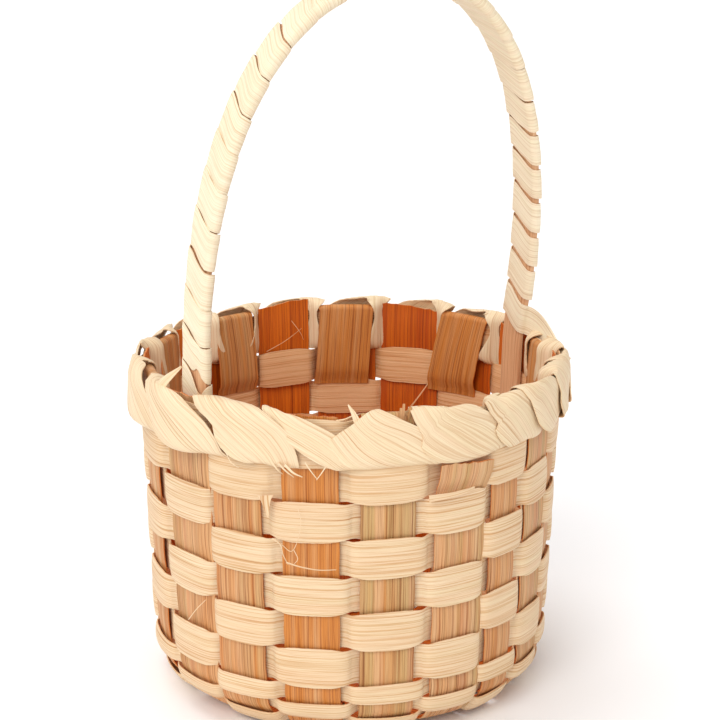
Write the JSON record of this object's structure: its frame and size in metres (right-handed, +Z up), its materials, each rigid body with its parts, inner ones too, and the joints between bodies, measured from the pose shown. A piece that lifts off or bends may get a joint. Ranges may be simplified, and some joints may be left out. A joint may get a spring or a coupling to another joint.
{
  "type": "splint basket",
  "caption": "Small round woven splint basket with a lashed rim and a fixed, wrapped arch handle.",
  "frame": {"origin": "on the floor under the middle of the basket's base", "axes": "+Z up, the handle's arch lies along X"},
  "size_m": [0.1423, 0.1425, 0.2365],
  "materials": {
    "stake_wood": "raw, unfinished split wood",
    "weaver_wood": "raw, unfinished split wood",
    "lashing_wood": "raw, unfinished split wood",
    "core_wood": "raw, unfinished split wood",
    "wrap_wood": "raw, unfinished split wood"
  },
  "bodies": {
    "root": {"stake_01": "stake_wood", "stake_02": "stake_wood", "stake_03": "stake_wood", "stake_04": "stake_wood", "stake_05": "stake_wood", "stake_06": "stake_wood", "stake_07": "stake_wood", "stake_08": "stake_wood", "stake_09": "stake_wood", "stake_10": "stake_wood", "weaver_01": "weaver_wood", "weaver_02": "weaver_wood", "weaver_03": "weaver_wood", "weaver_04": "weaver_wood", "weaver_05": "weaver_wood", "weaver_06": "weaver_wood", "weaver_07": "weaver_wood", "weaver_08": "weaver_wood", "weaver_09": "weaver_wood", "weaver_10": "weaver_wood", "rim_lashing": "lashing_wood", "handle_core": "core_wood", "handle_wrap": "wrap_wood"}
  },
  "joints": []
}
